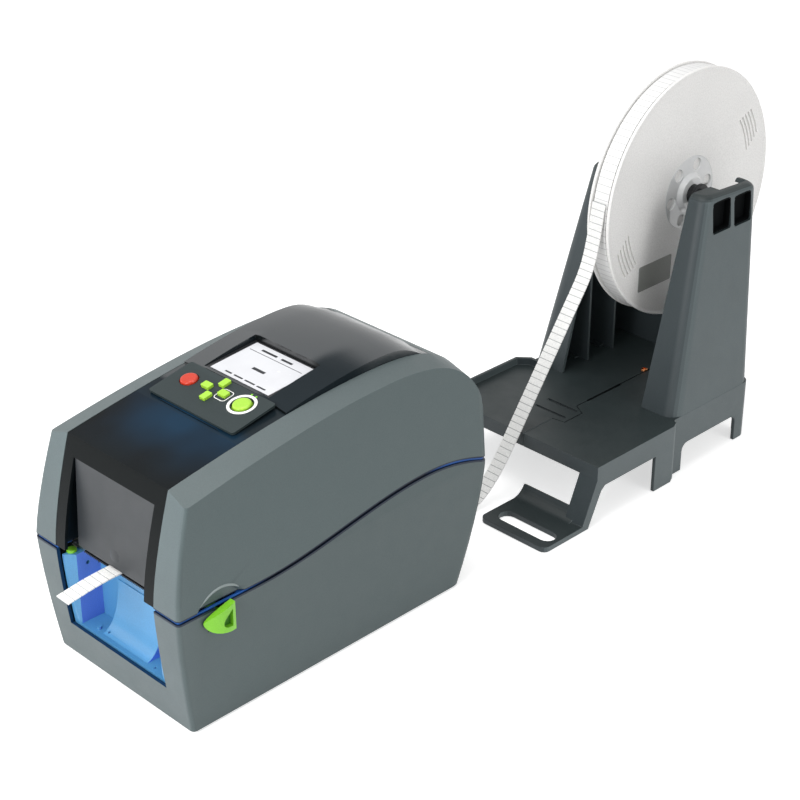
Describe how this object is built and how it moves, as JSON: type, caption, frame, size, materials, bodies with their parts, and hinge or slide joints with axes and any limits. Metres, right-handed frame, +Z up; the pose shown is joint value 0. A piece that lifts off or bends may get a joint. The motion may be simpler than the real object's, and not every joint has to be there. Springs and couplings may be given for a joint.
{
  "type": "thermal transfer printer with reel stand",
  "caption": "Desktop thermal transfer printer with a hinged lid, keys and screen, fed with a marker strip from a reel on a free-standing stand behind it.",
  "frame": {"origin": "middle of the whole object's underside, on the desk", "axes": "+X to the printer's right seen from its front, +Y from the printer to the reel, +Z up"},
  "size_m": [0.1564, 0.6554, 0.2787],
  "materials": {
    "case_grey": "fine-grained moulded plastic",
    "blue_plastic": "satin moulded plastic",
    "smoked_plastic": "glossy smoked plastic",
    "plate_grey": "satin moulded plastic",
    "lime_plastic": "satin moulded plastic",
    "red_plastic": "satin moulded plastic",
    "screen": "clear cover over a pale display",
    "steel": "plain sheet and rod",
    "aluminium": "extruded",
    "ceramic": "glazed strip",
    "rubber": "matt",
    "white_plastic": "satin moulded plastic",
    "clear_plastic": "glossy clear plastic",
    "black_plastic": "satin moulded plastic",
    "stand_slate": "fine-grained moulded plastic",
    "board": "lacquered circuit board",
    "motor_metal": "black paint",
    "brass": "machined",
    "ribbon": "thin coated film",
    "marker_white": "matt flexible strip"
  },
  "bodies": {
    "base": {"base_shell": "case_grey", "chassis": "blue_plastic", "front_tray": "blue_plastic", "base_feet": "rubber", "base_screws": "steel", "platen_frame": "steel", "platen_bearings": "black_plastic", "drive_motor": "motor_metal", "tear_bar": "steel", "guide_rod": "steel", "main_board": "board", "rear_panel": "black_plastic", "rear_sockets": "black_plastic", "latch_pins": "steel", "hinge_block": "black_plastic", "hinge_pin": "steel", "stand_left": "stand_slate", "stand_right": "stand_slate", "tower_left": "case_grey", "tower_right": "case_grey", "marker_strip": "marker_white"},
    "platen": {"platen_shaft": "steel", "platen_roller": "rubber", "platen_gear": "white_plastic"},
    "idler": {"idler_gear": "white_plastic"},
    "pinion": {"motor_pinion": "brass"},
    "left_guide": {"guide_left": "blue_plastic"},
    "right_guide": {"guide_right": "blue_plastic"},
    "rocker": {"power_switch": "black_plastic"},
    "left_latch": {"latch_left": "lime_plastic"},
    "right_latch": {"latch_right": "lime_plastic"},
    "lid": {"lid_shell": "case_grey", "lid_hinge_arms": "black_plastic", "latch_catches": "steel", "top_window": "smoked_plastic", "control_plate": "plate_grey", "control_board": "board", "screen_panel": "screen", "enter_ring": "white_plastic", "indicator_lights": "lime_plastic", "module_frame": "blue_plastic", "front_panel": "plate_grey", "head_bracket": "steel", "print_head": "aluminium", "head_strip": "ceramic", "ribbon_film": "ribbon"},
    "supply": {"supply_spindle": "black_plastic", "supply_roll": "ribbon"},
    "takeup": {"takeup_spindle": "black_plastic", "takeup_roll": "ribbon"},
    "stop": {"stop_button": "red_plastic"},
    "left_key": {"key_left": "lime_plastic"},
    "right_key": {"key_right": "lime_plastic"},
    "up_key": {"key_up": "lime_plastic"},
    "down_key": {"key_down": "lime_plastic"},
    "enter": {"enter_button": "lime_plastic"},
    "reel": {"reel_shaft": "black_plastic", "reel_hub": "clear_plastic", "reel_flanges": "white_plastic", "strip_winding": "marker_white"}
  },
  "joints": [
    {"name": "lid_hinge", "type": "hinge", "parent": "base", "child": "lid", "pos_m": [-0.0026, -0.035, 0.082], "axis": [-1, 0, 0], "range_deg": [0, 78]},
    {"name": "left_latch_pull", "type": "hinge", "parent": "base", "child": "left_latch", "pos_m": [-0.0626, -0.268, 0.042], "axis": [1, 0, 0], "range_deg": [0, 8], "stiffness_Nm_per_rad": 0.6},
    {"name": "right_latch_pull", "type": "hinge", "parent": "base", "child": "right_latch", "pos_m": [0.0574, -0.268, 0.042], "axis": [1, 0, 0], "range_deg": [0, 8], "stiffness_Nm_per_rad": 0.6},
    {"name": "power_rocker", "type": "hinge", "parent": "base", "child": "rocker", "pos_m": [0.0521, -0.0674, 0.0231], "axis": [1, 0, 0], "range_deg": [0, 10]},
    {"name": "right_guide_slide", "type": "slide", "parent": "base", "child": "right_guide", "axis": [1, 0, 0], "range_m": [0, 0.02]},
    {"name": "left_guide_slide", "type": "slide", "parent": "base", "child": "left_guide", "axis": [-1, 0, 0], "range_m": [0, 0.02]},
    {"name": "reel_spin", "type": "hinge", "parent": "base", "child": "reel", "pos_m": [0.0034, 0.2333, 0.1843], "axis": [1, 0, 0], "continuous": true},
    {"name": "platen_spin", "type": "hinge", "parent": "base", "child": "platen", "pos_m": [-0.0026, -0.2695, 0.0756], "axis": [1, 0, 0], "continuous": true},
    {"name": "idler_spin", "type": "hinge", "parent": "base", "child": "idler", "pos_m": [-0.0561, -0.25934, 0.04865], "axis": [1, 0, 0], "continuous": true},
    {"name": "pinion_spin", "type": "hinge", "parent": "base", "child": "pinion", "pos_m": [-0.0561, -0.238, 0.052], "axis": [1, 0, 0], "continuous": true},
    {"name": "supply_spin", "type": "hinge", "parent": "lid", "child": "supply", "pos_m": [-0.0026, -0.22, 0.128], "axis": [1, 0, 0], "continuous": true},
    {"name": "takeup_spin", "type": "hinge", "parent": "lid", "child": "takeup", "pos_m": [-0.0026, -0.258, 0.126], "axis": [1, 0, 0], "continuous": true},
    {"name": "stop_press", "type": "slide", "parent": "lid", "child": "stop", "axis": [0, 0.1934, -0.9811], "range_m": [0, 0.001], "stiffness_N_per_m": 600},
    {"name": "left_key_press", "type": "slide", "parent": "lid", "child": "left_key", "axis": [0, 0.1934, -0.9811], "range_m": [0, 0.001], "stiffness_N_per_m": 600},
    {"name": "right_key_press", "type": "slide", "parent": "lid", "child": "right_key", "axis": [0, 0.1934, -0.9811], "range_m": [0, 0.001], "stiffness_N_per_m": 600},
    {"name": "up_key_press", "type": "slide", "parent": "lid", "child": "up_key", "axis": [0, 0.1934, -0.9811], "range_m": [0, 0.001], "stiffness_N_per_m": 600},
    {"name": "down_key_press", "type": "slide", "parent": "lid", "child": "down_key", "axis": [0, 0.1934, -0.9811], "range_m": [0, 0.001], "stiffness_N_per_m": 600},
    {"name": "enter_press", "type": "slide", "parent": "lid", "child": "enter", "axis": [0, 0.1934, -0.9811], "range_m": [0, 0.001], "stiffness_N_per_m": 600}
  ],
  "couplings": [
    {"joint": "left_guide_slide", "follows": "right_guide_slide", "ratio": 1},
    {"joint": "platen_spin", "follows": "reel_spin", "ratio": 11},
    {"joint": "idler_spin", "follows": "reel_spin", "ratio": -8.8},
    {"joint": "pinion_spin", "follows": "reel_spin", "ratio": 25.143},
    {"joint": "supply_spin", "follows": "reel_spin", "ratio": 5.5},
    {"joint": "takeup_spin", "follows": "reel_spin", "ratio": -8}
  ]
}
